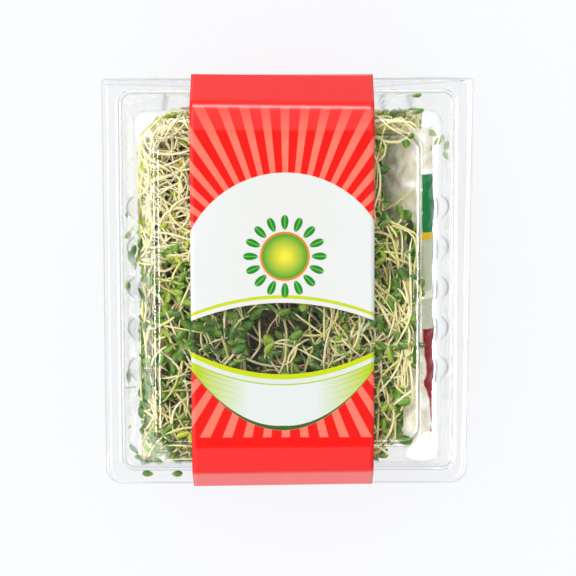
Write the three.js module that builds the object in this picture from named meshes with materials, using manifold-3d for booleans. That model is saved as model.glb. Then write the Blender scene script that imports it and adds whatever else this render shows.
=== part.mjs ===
// Alfalfa sprouts in a clear hinged pack, closed and lying on its tray, with two sachets of seasoning
// among the sprouts and a printed film sleeve round the middle.
// Millimetres, +Z up. The origin is on the surface below the middle of the pack, +Y is the hinge side,
// and +X is the side where the sachets stand.

import * as THREE from "three";
import { mergeVertices } from "three/addons/utils/BufferGeometryUtils.js";
import Module from "manifold-3d";

const wasm = await Module();
wasm.setup();

// Clear sheet of the tray and the lid, with the gap that pieces keep from each other
const sheet = 0.8;
const gap = 0.3;
const flangeWidth = 135.6;
const flangeNarrowing = 1.6;
const flangeLength = 151.3;
const flangeCorner = 5.7;
const hingeCorner = 0.8;
const footWidth = 122;
const footLength = 140;
const footCorner = 3.8;
const wallInset = 4.8;
const panelInset = 12;
const panelCorner = 6;
const shoulderHeight = 7;
const cornerCut = 0.32;
const trayDepth = 25;
const lidDepth = 22;

// Half-round lugs along the long walls of the lid
const lugCount = 5;
const lugPitch = 14.8;
const lugRadius = 4.3;
const lugCentre = 54.5;
const lugHeight = 15;

// Strip of the lid that folds down over the edge of the tray's flange and is the hinge
const hingeReach = 76;
const hingeThickness = 0.6;
const hingeDrop = 1.9;
const trayHingeSetback = 0.6;

// Printed film sleeve
const film = 0.6;
const sleeveWidth = 66.5;
const sleeveShift = -2;
const sleeveReach = 76.9;
const sleeveCrease = 69.5;
const sleeveCreaseDrop = 3.6;
const sleevePanel = 58;

// Heights above the surface that the pack lies on
const trayFloor = film + gap;
const trayFlangeTop = trayFloor + trayDepth;
const lidFlangeBottom = trayFlangeTop + gap;
const lidTop = lidFlangeBottom + lidDepth;
const sleeveTop = lidTop + gap + film;

// Sachets, folded so that one face leans into the pack and the other lies along its wall
const sachetFold = [[36, 20], [43.5, 31], [50, 39.5], [54.2, 34.5], [55.6, 27.5]];
const sachetFill = 3.4;
const sachetSeam = 0.7;
const sachetSealLength = 6;
const sachetFullness = 3;
const sachetSteps = [10, 8];
const limeSachetEnds = [-1, 58];
const chileSachetEnds = [-61, -3];

// One sprout: a thread of stem and a pair of seed leaves, given by their half length and width
const stemRadius = 0.6;
const stemSides = 3;
const stemSteps = 3;
const leafLength = 5.2;
const leafWidth = 3.4;
const leafThickness = 1;
const leafTurn = 0.95;
const leafTilt = 0.6;
const stemRuns = [11, 10];
const stemSinks = [1.2, 3];
const smallestDetail = 0.04;
const weld = 0.001;

// Bunches of sprouts that fill the pack, each round a small core that its sprouts stand out of
const bunchGap = 0.8;
const sachetGap = 1.6;
const coreDepth = 12.5;
const coreDepthUnderSachets = 5.5;
const coreNeighbour = 4;
const coreRoughness = 5;
const leastCoreReach = 0.05;
const rootDepth = 1.5;
const sproutDepth = [2, 6];
const sideShare = 0.4;
const tipChoices = 8;
const leftEdge = -19.5;
const rightEdge = 16;
const paleEdge = 13;
const beyond = 90;
const spaceTries = 20000;
const settlingRounds = 12;
const tuckingRounds = 3;
const firstSeed = 101;
const seedStep = 12;
const bunches = [
  { name: "sprouts_upper_left", x: [-beyond, leftEdge], y: [paleEdge, beyond], count: 50, leafy: 0.3 },
  { name: "sprouts_lower_left", x: [-beyond, leftEdge], y: [-beyond, paleEdge], count: 42, leafy: 0.8 },
  { name: "sprouts_middle", x: [leftEdge, rightEdge], y: [-beyond, beyond], count: 46, leafy: 0.8 },
  { name: "sprouts_right", x: [rightEdge, beyond], y: [-beyond, beyond], count: 44, leafy: 0.8 },
  { name: "sprouts_under_sachets", x: [rightEdge, beyond], y: [-beyond, beyond], count: 20, leafy: 0.8 },
];

const clearSheet = new THREE.MeshStandardMaterial({
  color: 0xf2f5f3,
  roughness: 0.08,
  metalness: 0,
  transparent: true,
  opacity: 0.25,
  side: THREE.DoubleSide,
});
const printedFilm = new THREE.MeshStandardMaterial({ color: 0xf0402e, roughness: 0.2, metalness: 0 });
const limeFilm = new THREE.MeshStandardMaterial({ color: 0x0f8a43, roughness: 0.25, metalness: 0 });
const chileFilm = new THREE.MeshStandardMaterial({ color: 0xb3202c, roughness: 0.25, metalness: 0 });
const paleSprouts = new THREE.MeshStandardMaterial({ color: 0xd8d596, roughness: 0.6, metalness: 0 });
const greenSprouts = new THREE.MeshStandardMaterial({ color: 0x6f9440, roughness: 0.6, metalness: 0 });

// A repeatable source of numbers from 0 to 1
function randomSource(seed) {
  let state = seed;
  return () => {
    state = (state + 0x6d2b79f5) | 0;
    let mixed = Math.imul(state ^ (state >>> 15), 1 | state);
    mixed = (mixed + Math.imul(mixed ^ (mixed >>> 7), 61 | mixed)) ^ mixed;
    return ((mixed ^ (mixed >>> 14)) >>> 0) / 4294967296;
  };
}

function toSolid(geometry) {
  const bare = geometry.clone();
  bare.deleteAttribute("normal");
  bare.deleteAttribute("uv");
  const merged = mergeVertices(bare, weld);
  const vertProperties = new Float32Array(merged.attributes.position.array);
  const triVerts = new Uint32Array(merged.index.array);
  return new wasm.Manifold(new wasm.Mesh({ numProp: 3, vertProperties, triVerts }));
}

function toGeometry(solid) {
  const mesh = solid.getMesh();
  const geometry = new THREE.BufferGeometry();
  geometry.setAttribute("position", new THREE.BufferAttribute(mesh.vertProperties, 3));
  geometry.setIndex(new THREE.BufferAttribute(mesh.triVerts, 1));
  geometry.computeVertexNormals();
  return geometry;
}

// The largest of the bodies in a solid, without loose scraps, pockets and facets too small to matter
function largestBody(solid) {
  const bodies = toSolid(toGeometry(solid.simplify(smallestDetail))).decompose();
  return bodies.reduce((best, body) => (body.volume() > best.volume() ? body : best));
}

// A rectangle with rounded corners, anticlockwise from the +X side. Its front is narrower than its back.
function roundedRectangle(halfX, halfY, frontCorner, backCorner, narrowing, height) {
  const points = [];
  const cornerSteps = 5;
  const corners = [
    { x: 1, y: 1, radius: backCorner, start: 0 },
    { x: -1, y: 1, radius: backCorner, start: Math.PI / 2 },
    { x: -1, y: -1, radius: frontCorner, start: Math.PI },
    { x: 1, y: -1, radius: frontCorner, start: (3 * Math.PI) / 2 },
  ];
  for (const corner of corners) {
    for (let step = 0; step <= cornerSteps; step++) {
      const angle = corner.start + (step / cornerSteps) * (Math.PI / 2);
      const x = corner.x * (halfX - corner.radius) + corner.radius * Math.cos(angle);
      const y = corner.y * (halfY - corner.radius) + corner.radius * Math.sin(angle);
      const squeeze = 1 - (narrowing / halfX) * (0.5 - y / (2 * halfY));
      points.push(new THREE.Vector3(x * squeeze, y, height));
    }
  }
  return points;
}

// A closed body through rings of points that rise from its bottom to its top
function stack(rings) {
  const count = rings[0].length;
  const positions = rings.flat().flatMap((point) => point.toArray());
  const index = [];
  for (let ring = 0; ring + 1 < rings.length; ring++) {
    for (let i = 0; i < count; i++) {
      const a = ring * count + i;
      const b = ring * count + ((i + 1) % count);
      index.push(a, b, b + count, a, b + count, a + count);
    }
  }
  const last = (rings.length - 1) * count;
  for (let i = 1; i + 1 < count; i++) {
    index.push(0, i + 1, i);
    index.push(last, last + i, last + i + 1);
  }
  const geometry = new THREE.BufferGeometry();
  geometry.setAttribute("position", new THREE.Float32BufferAttribute(positions, 3));
  geometry.setIndex(index);
  return geometry;
}

// The tapered tub below a flange, with its rounded shoulder, drawn in from its outside by a thickness
function tub(depth, thickness) {
  const rings = [];
  const ring = (inset, corner, height) => {
    const halfX = footWidth / 2 - inset;
    const halfY = footLength / 2 - inset;
    rings.push(roundedRectangle(halfX, halfY, corner, corner, 0, height));
  };
  const shoulderSteps = 3;
  const shoulderRun = panelInset - wallInset - thickness;
  const shoulderRise = shoulderHeight - thickness;
  for (let step = shoulderSteps; step >= 0; step--) {
    const angle = (step / shoulderSteps) * (Math.PI / 2);
    const inset = panelInset - shoulderRun * Math.cos(angle);
    ring(inset, panelCorner, shoulderHeight - depth - shoulderRise * Math.sin(angle));
  }
  ring(thickness, footCorner, 0);
  return rings;
}

// Half of the clear pack, with the face of its flange at height 0 and its tub hanging below
function halfPack(depth, backReach) {
  const outer = toSolid(stack(tub(depth, 0)));
  const rings = tub(depth, sheet);
  const mouth = rings[rings.length - 1].map((point) => point.clone().setZ(sheet));
  const inner = toSolid(stack([...rings, mouth]));
  const frontReach = flangeLength / 2;
  const flangeRings = [-sheet, 0].map((height) => {
    const halfY = (frontReach + backReach) / 2;
    const corners = [flangeCorner, hingeCorner, flangeNarrowing / 2];
    const outline = roundedRectangle(flangeWidth / 2, halfY, ...corners, height);
    return outline.map((point) => point.setY(point.y + (backReach - frontReach) / 2));
  });
  const flange = toSolid(stack(flangeRings));
  return { body: flange.add(outer), hollow: inner };
}

// A round column hanging down from height 0, with its far end bevelled
function lugColumn(radius, height) {
  const bevel = 1.2;
  const profile = [[0, -height], [radius - bevel, -height], [radius, bevel - height], [radius, 0], [0, 0]];
  const outline = profile.map((point) => new THREE.Vector2(...point));
  return new THREE.LatheGeometry(outline, 12).rotateX(Math.PI / 2);
}

function makeTray() {
  const half = halfPack(trayDepth, flangeLength / 2 - trayHingeSetback);
  const mesh = new THREE.Mesh(toGeometry(half.body.subtract(half.hollow)), clearSheet);
  mesh.name = "tray";
  mesh.position.z = trayFlangeTop;
  return mesh;
}

// A body of constant section along X, centred, from its outline in Y and Z
function alongX(outline, length) {
  const shape = new THREE.Shape(outline.map(([y, z]) => new THREE.Vector2(y, z)));
  const bar = new THREE.ExtrudeGeometry(shape, { depth: length, bevelEnabled: false, steps: 1 });
  bar.translate(0, 0, -length / 2);
  const turn = new THREE.Matrix4();
  turn.makeBasis(new THREE.Vector3(0, 1, 0), new THREE.Vector3(0, 0, 1), new THREE.Vector3(1, 0, 0));
  return bar.applyMatrix4(turn);
}

// The strip from the lid's flange down round the edge of the tray's, drawn in Y and Z for the turned lid
function hingeStrip() {
  const inside = hingeReach - hingeThickness;
  const start = flangeLength / 2 - 2;
  const under = sheet + gap + hingeDrop - hingeThickness;
  const bend = 0.9;
  const outline = [
    [start, -sheet],
    [hingeReach - hingeThickness, -sheet],
    [hingeReach, hingeThickness - sheet],
    [hingeReach, under - bend],
    [hingeReach - bend, under],
    [start + hingeThickness, under],
    [start + hingeThickness, under - hingeThickness],
    [inside - bend / 2, under - hingeThickness],
    [inside, under - hingeThickness - bend / 2],
    [inside, 0],
    [start, 0],
  ];
  return toSolid(alongX(outline, flangeWidth - 2 * hingeCorner));
}

function makeLid() {
  const half = halfPack(lidDepth, flangeLength / 2);
  let body = half.body.add(hingeStrip());
  let hollow = half.hollow;
  for (let lug = 0; lug < lugCount; lug++) {
    const y = (lug - (lugCount - 1) / 2) * lugPitch;
    for (const side of [-1, 1]) {
      const outside = lugColumn(lugRadius, lugHeight).translate(side * lugCentre, y, 0);
      const inside = lugColumn(lugRadius - sheet, lugHeight - sheet).translate(side * lugCentre, y, 0);
      body = body.add(toSolid(outside));
      hollow = hollow.add(toSolid(inside));
    }
  }
  const mesh = new THREE.Mesh(toGeometry(body.subtract(hollow)), clearSheet);
  mesh.name = "lid";
  mesh.rotation.y = Math.PI;
  mesh.position.z = lidFlangeBottom;
  return mesh;
}

// The sleeve's section in Y and Z, drawn in from its outside by a thickness
function sleeveSection(thickness) {
  const flangeBand = 1.6;
  const middle = (trayFlangeTop + lidFlangeBottom) / 2;
  const half = [
    [sleevePanel, thickness],
    [sleeveCrease - thickness, sleeveCreaseDrop + thickness],
    [sleeveReach - thickness, middle - flangeBand],
    [sleeveReach - thickness, middle + flangeBand],
    [sleeveCrease - thickness, sleeveTop - sleeveCreaseDrop - thickness],
    [sleevePanel, sleeveTop - thickness],
  ];
  const mirrored = half.map(([y, z]) => [-y, z]).reverse();
  return [...half, ...mirrored];
}

function makeSleeve() {
  const outside = toSolid(alongX(sleeveSection(0), sleeveWidth));
  const inside = toSolid(alongX(sleeveSection(film), sleeveWidth + 2));
  const mesh = new THREE.Mesh(toGeometry(outside.subtract(inside)), printedFilm);
  mesh.name = "sleeve";
  mesh.position.x = sleeveShift;
  return mesh;
}

// A pillow of film, flat at its seams, bent along the fold that both sachets share
function makeSachet(name, ends, material) {
  const points = sachetFold.map(([x, z]) => new THREE.Vector3(x, 0, z));
  const fold = new THREE.CatmullRomCurve3(points);
  const length = ends[1] - ends[0];
  const geometry = new THREE.BoxGeometry(1, length, 1, ...sachetSteps, 1);
  const place = geometry.attributes.position;
  for (let i = 0; i < place.count; i++) {
    const across = THREE.MathUtils.clamp(place.getX(i) + 0.5, 0, 1);
    const along = place.getY(i);
    const fromSeal = Math.max(0, 1 - Math.abs(along) / (length / 2 - sachetSealLength));
    const bulge = Math.sqrt(Math.sin(Math.PI * across)) * Math.min(1, Math.sqrt(sachetFullness * fromSeal));
    const thickness = sachetSeam + (sachetFill - sachetSeam) * bulge;
    const centre = fold.getPointAt(across);
    const heading = fold.getTangentAt(across);
    const off = place.getZ(i) * thickness;
    const y = along + (ends[0] + ends[1]) / 2;
    place.setXYZ(i, centre.x - heading.z * off, y, centre.z + heading.x * off);
  }
  const mesh = new THREE.Mesh(geometry, material);
  mesh.name = name;
  return mesh;
}

// A plane that bounds a space, as its outward normal, its reach and how far inside it a core stays
function boundary(normal, through, inset) {
  const unit = new THREE.Vector3(...normal).normalize();
  return { normal: unit, reach: unit.dot(new THREE.Vector3(...through)), inset };
}

// How far inside a plane a point is
const depthBelow = (plane, point) => plane.reach - plane.normal.dot(point);

// The planes that bound the inside of the closed pack, from which a core keeps its depth
function packWalls(depthOfCore) {
  const walls = [];
  const wall = (normal, through) => walls.push(boundary(normal, through, depthOfCore));
  const halves = [
    { up: 1, flange: lidFlangeBottom, depth: lidDepth },
    { up: -1, flange: trayFlangeTop, depth: trayDepth },
  ];
  const footX = footWidth / 2 - sheet;
  const footY = footLength / 2 - sheet;
  const run = panelInset - wallInset - sheet;
  const rise = shoulderHeight - sheet;
  const cut = cornerCut * panelCorner;
  for (const { up, flange, depth } of halves) {
    const wallEnd = flange + up * (depth - shoulderHeight);
    const lean = (up * wallInset) / (depth - shoulderHeight);
    wall([0, 0, up], [0, 0, flange + up * (depth - sheet)]);
    for (const side of [-1, 1]) {
      wall([side, 0, lean], [side * footX, 0, flange]);
      wall([0, side, lean], [0, side * footY, flange]);
      wall([side * rise, 0, up * run], [side * (footX - wallInset), 0, wallEnd]);
      wall([0, side * rise, up * run], [0, side * (footY - wallInset), wallEnd]);
      for (const end of [-1, 1]) {
        wall([side, end, 2 * lean], [side * (footX - cut), end * (footY - cut), flange]);
      }
    }
  }
  return walls;
}

// The planes that keep a bunch to its own part of the pack, clear of its neighbours and the sachets
function bunchLimits(bunch) {
  const limits = [];
  for (const [side, index] of [[-1, 0], [1, 1]]) {
    limits.push(boundary([side, 0, 0], [bunch.x[index] - side * bunchGap, 0, 0], coreNeighbour));
    limits.push(boundary([0, side, 0], [0, bunch.y[index] - side * bunchGap, 0], coreNeighbour));
  }
  const [low, , high] = sachetFold;
  const clearance = sachetFill / 2 + sachetGap;
  const away = new THREE.Vector3(high[1] - low[1], 0, low[0] - high[0]).normalize();
  const foot = new THREE.Vector3(low[0], 0, low[1]);
  if (bunch.name === "sprouts_right") {
    const through = foot.addScaledVector(away, -clearance);
    limits.push(boundary(away.toArray(), through.toArray(), coreDepth / 2));
  }
  if (bunch.name === "sprouts_under_sachets") {
    const through = foot.addScaledVector(away, clearance);
    const ceiling = sachetFold[sachetFold.length - 1][1] - clearance;
    limits.push(boundary(away.negate().toArray(), through.toArray(), coreNeighbour));
    limits.push(boundary([0, 0, 1], [0, 0, ceiling], coreNeighbour));
  }
  return limits;
}

// A random point of the pack
function anyPoint(random) {
  const x = (random() - 0.5) * footWidth;
  const y = (random() - 0.5) * footLength;
  return new THREE.Vector3(x, y, random() * sleeveTop);
}

// The box round the space inside some planes, found from random points of it
function spaceInside(planes, random) {
  const box = new THREE.Box3();
  for (let tries = 0; tries < spaceTries; tries++) {
    const point = anyPoint(random);
    if (planes.every((plane) => depthBelow(plane, point) > 0)) {
      box.expandByPoint(point);
    }
  }
  return box;
}

// Moves a point until it is at least the core's depth, and some more, inside every plane
function drawIn(point, planes, more) {
  for (let round = 0; round < settlingRounds; round++) {
    for (const plane of planes) {
      const short = plane.inset + more - depthBelow(plane, point);
      if (short > 0) {
        point.addScaledVector(plane.normal, -short);
      }
    }
  }
  return point;
}

// The tangle in the middle of a bunch, which every sprout is rooted in
function makeCore(planes, random) {
  const space = spaceInside(planes, random);
  const middle = drawIn(space.getCenter(new THREE.Vector3()), planes, 0);
  const half = space.getSize(new THREE.Vector3()).multiplyScalar(0.5);
  const round = new THREE.IcosahedronGeometry(1, 1).deleteAttribute("uv").deleteAttribute("normal");
  const core = mergeVertices(round);
  const place = core.attributes.position;
  for (let i = 0; i < place.count; i++) {
    const ray = new THREE.Vector3().fromBufferAttribute(place, i).multiply(half);
    const rough = coreRoughness * random();
    let reach = 1;
    for (const plane of planes) {
      const slope = plane.normal.dot(ray);
      if (slope > 0) {
        reach = Math.min(reach, (depthBelow(plane, middle) - plane.inset - rough) / slope);
      }
    }
    place.setXYZ(i, ...ray.multiplyScalar(Math.max(reach, leastCoreReach)).add(middle).toArray());
  }
  return toSolid(core);
}

// A stem along a path, with few sides
function makeStem(path) {
  const corners = [];
  for (let side = 0; side < stemSides; side++) {
    const angle = (side / stemSides) * 2 * Math.PI;
    corners.push(new THREE.Vector2(Math.cos(angle), Math.sin(angle)).multiplyScalar(stemRadius));
  }
  const section = new THREE.Shape(corners);
  return new THREE.ExtrudeGeometry(section, { steps: stemSteps, bevelEnabled: false, extrudePath: path });
}

// The two seed leaves of a sprout: one thin blade with a ridge, turned back on both sides of the stem's tip
function makeLeaves(tip, heading, face) {
  const rings = [];
  const stations = [[-1, 0.12], [-0.55, 1], [0, 0.3], [0.55, 1], [1, 0.12]];
  for (const [along, width] of stations) {
    const turn = leafTurn * Math.sign(along);
    const out = heading.clone().applyAxisAngle(face, turn);
    const side = new THREE.Vector3().crossVectors(face, out).multiplyScalar(Math.sign(along) || 1);
    if (along === 0) {
      side.copy(heading).negate();
    }
    const centre = tip.clone().addScaledVector(out, Math.abs(along) * leafLength);
    const edge = (width * leafWidth) / 2;
    const ridge = Math.max(width, 0.5) * leafThickness;
    rings.push([
      centre.clone().addScaledVector(side, -edge).addScaledVector(face, -ridge / 3),
      centre.clone().addScaledVector(side, edge).addScaledVector(face, -ridge / 3),
      centre.clone().addScaledVector(face, (2 * ridge) / 3),
    ]);
  }
  return stack(rings);
}

// A sprout whose stem leaves the core, turns along the wall of the pack and ends in its leaves
function makeSprout(planes, tip, wall, leafy, random) {
  const outward = wall.normal;
  const anyway = new THREE.Vector3(random() - 0.5, random() - 0.5, random() - 0.5);
  const heading = anyway.projectOnPlane(outward).normalize();
  const turned = heading.clone().applyAxisAngle(outward, (random() - 0.5) * 2);
  const bend = tip.clone().addScaledVector(heading, -stemRuns[0]).addScaledVector(outward, -stemSinks[0]);
  const back = bend.clone().addScaledVector(turned, -stemRuns[1]).addScaledVector(outward, -stemSinks[1]);
  const root = drawIn(back.clone(), planes, coreRoughness + rootDepth);
  const pieces = [makeStem(new THREE.CatmullRomCurve3([root, back, bend, tip]))];
  if (leafy) {
    const face = outward.clone().applyAxisAngle(heading, (random() - 0.5) * 2 * leafTilt);
    pieces.push(makeLeaves(tip, heading, face));
  }
  return pieces;
}

// How far the pieces of a sprout reach past the gap inside a plane
function reachPast(pieces, plane) {
  const vertex = new THREE.Vector3();
  let over = 0;
  for (const piece of pieces) {
    const place = piece.attributes.position;
    for (let i = 0; i < place.count; i++) {
      over = Math.max(over, gap - depthBelow(plane, vertex.fromBufferAttribute(place, i)));
    }
  }
  return over;
}

// Moves the pieces of a sprout together until they are inside every plane, and says whether they are
function tuckInside(pieces, planes) {
  for (let round = 0; round < tuckingRounds; round++) {
    for (const plane of planes) {
      const shift = plane.normal.clone().multiplyScalar(-reachPast(pieces, plane));
      pieces.forEach((piece) => piece.translate(...shift.toArray()));
    }
  }
  return planes.every((plane) => reachPast(pieces, plane) < gap / 2);
}

// Places where sprouts end, inside every plane and near a wall, each as far as it can be from the others
function sproutTips(bunch, walls, planes, random) {
  const tips = [];
  const crowding = (tip) => Math.min(...tips.map((other) => other.point.distanceTo(tip.point)));
  while (tips.length < bunch.count) {
    const choices = [];
    while (choices.length < tipChoices) {
      const point = anyPoint(random);
      const depths = walls.map((wall) => depthBelow(wall, point));
      const nearest = Math.min(...depths);
      const wall = walls[depths.indexOf(nearest)];
      const wanted = wall.normal.z > 0.5 || random() < sideShare;
      const inside = planes.every((plane) => depthBelow(plane, point) > sproutDepth[0]);
      if (wanted && inside && nearest < sproutDepth[1]) {
        choices.push({ point, wall });
      }
    }
    tips.push(choices.reduce((best, tip) => (crowding(tip) > crowding(best) ? tip : best)));
  }
  return tips;
}

// A core and the sprouts that stand out of it, as one body
function makeBunch(bunch, seed) {
  const random = randomSource(seed);
  const walls = packWalls(bunch.name === "sprouts_under_sachets" ? coreDepthUnderSachets : coreDepth);
  const planes = [...walls, ...bunchLimits(bunch)];
  const solids = [makeCore(planes, random)];
  for (const { point, wall } of sproutTips(bunch, walls, planes, random)) {
    const pieces = makeSprout(planes, point, wall, random() < bunch.leafy, random);
    if (tuckInside(pieces, planes)) {
      solids.push(...pieces.map(toSolid));
    }
  }
  const body = largestBody(wasm.Manifold.union(solids));
  const material = bunch.name === "sprouts_upper_left" ? paleSprouts : greenSprouts;
  const mesh = new THREE.Mesh(toGeometry(body), material);
  mesh.name = bunch.name;
  return mesh;
}

const pack = new THREE.Group();
pack.add(makeTray());
pack.add(makeLid());
pack.add(makeSleeve());
pack.add(makeSachet("lime_sachet", limeSachetEnds, limeFilm));
pack.add(makeSachet("chile_sachet", chileSachetEnds, chileFilm));
bunches.forEach((bunch, order) => pack.add(makeBunch(bunch, firstSeed + seedStep * order)));

export default pack;
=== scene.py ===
# Alfalfa sprouts in a clear hinged pack, with two sachets of seasoning and a printed film sleeve.
# The pack lies on its tray. +Z is up, +Y is the hinge side and +X is the side where the sachets stand.

import math

import bmesh
import bpy
import numpy as np
from mathutils import Matrix, Vector


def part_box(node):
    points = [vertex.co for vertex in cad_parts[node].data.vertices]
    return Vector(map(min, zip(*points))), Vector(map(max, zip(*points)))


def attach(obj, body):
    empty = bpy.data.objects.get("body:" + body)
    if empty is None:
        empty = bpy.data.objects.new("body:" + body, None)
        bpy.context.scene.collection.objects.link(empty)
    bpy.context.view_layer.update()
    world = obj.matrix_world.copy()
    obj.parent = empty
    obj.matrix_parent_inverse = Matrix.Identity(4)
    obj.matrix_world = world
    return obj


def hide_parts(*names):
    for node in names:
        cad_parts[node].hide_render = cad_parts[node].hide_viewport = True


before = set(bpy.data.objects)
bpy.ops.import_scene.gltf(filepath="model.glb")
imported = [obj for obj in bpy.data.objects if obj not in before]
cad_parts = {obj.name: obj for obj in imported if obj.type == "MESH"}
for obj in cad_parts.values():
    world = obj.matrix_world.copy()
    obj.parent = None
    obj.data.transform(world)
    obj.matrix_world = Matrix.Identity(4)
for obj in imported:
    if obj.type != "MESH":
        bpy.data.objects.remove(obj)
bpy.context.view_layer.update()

MM = 0.001

# The pack's driving dimensions in millimetres. Half sizes and insets are measured across and along the pack.
SHEET = 0.32
FLANGE_GAP = 0.3
FLANGE_HALF = (67.8, 75.65)
FLANGE_NARROWING = 1.6
FLANGE_CORNER = 5.7
HINGE_CORNER = 1.2
FOOT_HALF = (61.0, 70.0)
FOOT_CORNER = 3.8
WALL_INSET = 5.0
PANEL_INSET = 12.0
PANEL_CORNER = 6.0
SHOULDER = 7.0
FACET_SLOPE = math.radians(33)
FACET_REACH = 72.4
# Half-round lugs in the lid's long walls, and shallow ribs in its end wall
LUGS = 5
LUG_PITCH = 14.8
LUG_RADIUS = 4.3
LUG_CENTRE = 54.4
LUG_TOP_REACH = 53.3
LUG_TOP_RISE = 6.0
RIBS = (34.6, 44.7)
RIB_WIDTH = 0.8
RIB_HEIGHT = 0.5
# Folded strip of the hinge
FOLD_RADIUS = 0.62
FOLD_INNER_EDGE = 71.6
FOLD_LENGTH_STEPS = 120
FOLD_TURNS = 8
# The film sleeve: its flat panel and its creases are given by how far along the pack they are
SLEEVE_SHIFT = -2.0
SLEEVE_PANEL = 58.0
SLEEVE_CREASE = 67.6
SLEEVE_CREASE_DROP = 3.4
FILM = 0.14

tray_high, lid_high = (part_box(node)[1] / MM for node in ("tray", "lid"))
sleeve_low, sleeve_high = (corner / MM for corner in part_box("sleeve"))
TRAY_FLANGE = tray_high.z - SHEET
LID_FLANGE = tray_high.z + FLANGE_GAP + SHEET
LID_DEPTH = lid_high.z - LID_FLANGE
SLEEVE_TOP = sleeve_high.z
SLEEVE_HALF = (sleeve_high.x - sleeve_low.x) / 2


def linear(hex_colour):
    """An sRGB hex colour as linear red, green, blue and alpha."""
    channels = [int(hex_colour[i : i + 2], 16) / 255 for i in (1, 3, 5)]
    return tuple(c / 12.92 if c <= 0.04045 else ((c + 0.055) / 1.055) ** 2.4 for c in channels) + (1.0,)


def add(tree, kind, inputs=None, stops=None, **settings):
    """Adds a node with its settings, colour stops, and inputs as values, hex colours, sockets or nodes, whose
    first output in use is taken. A mix is of colours."""
    node = tree.nodes.new("ShaderNode" + kind)
    if kind == "Mix":
        node.data_type = "RGBA"
    for name, value in settings.items():
        setattr(node, name, value)
    if stops:
        ramp = node.color_ramp.elements
        ramp.remove(ramp[1])
        for position, hex_colour in stops:
            stop = ramp[0] if position == stops[0][0] else ramp.new(position)
            stop.position = position
            stop.color = linear(hex_colour)
    for socket, value in (inputs or {}).items():
        if isinstance(value, bpy.types.Node):
            value = next(output for output in value.outputs if output.enabled)
        if isinstance(value, bpy.types.NodeSocket):
            tree.links.new(value, node.inputs[socket])
        else:
            node.inputs[socket].default_value = linear(value) if isinstance(value, str) else value
    return node


def new_material(name):
    """A node material with nothing in it yet."""
    material = bpy.data.materials.new(name)
    material.use_nodes = True
    material.node_tree.nodes.clear()
    return material, material.node_tree


def unit(vectors):
    """Vectors at a length of 1."""
    return vectors / np.maximum(np.linalg.norm(vectors, axis=-1, keepdims=True), 1e-9)


def make_piece(name, points, faces, materials, slots=None):
    """A mesh piece from points in millimetres and its faces, which may be an array of quads."""
    mesh = bpy.data.meshes.new(name)
    if isinstance(faces, np.ndarray):
        mesh.vertices.add(len(points))
        mesh.vertices.foreach_set("co", (np.asarray(points) * MM).astype(np.float32).ravel())
        mesh.loops.add(faces.size)
        mesh.loops.foreach_set("vertex_index", faces.astype(np.int32).ravel())
        mesh.polygons.add(len(faces))
        mesh.polygons.foreach_set("loop_start", np.arange(0, faces.size, 4, dtype=np.int32))
        mesh.update(calc_edges=True)
    else:
        mesh.from_pydata([tuple(point) for point in np.asarray(points) * MM], [], faces)
    for material in materials:
        mesh.materials.append(material)
    if slots is not None:
        mesh.polygons.foreach_set("material_index", np.asarray(slots, dtype=np.int32))
    mesh.polygons.foreach_set("use_smooth", np.full(len(mesh.polygons), True))
    mesh.validate()
    piece = bpy.data.objects.new(name, mesh)
    bpy.context.scene.collection.objects.link(piece)
    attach(piece, "root")
    return piece


def point_values(piece, name, values):
    """Keeps one number for each point of a mesh, for its material."""
    layer = piece.data.attributes.new(name, "FLOAT", "POINT")
    layer.data.foreach_set("value", np.asarray(values, dtype=np.float32).ravel())


def quads_between(rows, wide, closed=False):
    """Quads between rows of points that follow one another, each row closed if it runs all round."""
    index = np.arange(rows * wide).reshape(rows, wide)
    if closed:
        index = np.column_stack([index, index[:, 0]])
    low, high = index[:-1], index[1:]
    return np.stack([low[:, :-1], low[:, 1:], high[:, 1:], high[:, :-1]], axis=-1).reshape(-1, 4)


def lay_print(piece, corners):
    """Gives each corner of each face its place in the print, in mm."""
    layer = piece.data.uv_layers.new(name="print")
    layer.data.foreach_set("uv", corners.astype(np.float32).ravel())


def stand_for(piece, node):
    """Hides the CAD node that a piece stands in for."""
    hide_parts(node)


def give_thickness(piece, thickness):
    """Makes a sheet as thick as it is, inward from its outer side."""
    sheet = piece.modifiers.new("sheet", "SOLIDIFY")
    sheet.thickness = thickness * MM
    sheet.offset = -1


# ---- materials ----


def uneven(tree, size, relief, strength=1.0, **noise):
    """Lumps of a size in mm, fixed to the pack, and the bump that they raise, a relief in mm high."""
    place = add(tree, "TexCoord").outputs["Object"]
    lumps = add(tree, "TexNoise", {"Vector": place, "Scale": 1 / (size * MM)} | noise)
    return lumps, add(tree, "Bump", {"Height": lumps, "Strength": strength, "Distance": relief * MM})


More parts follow.
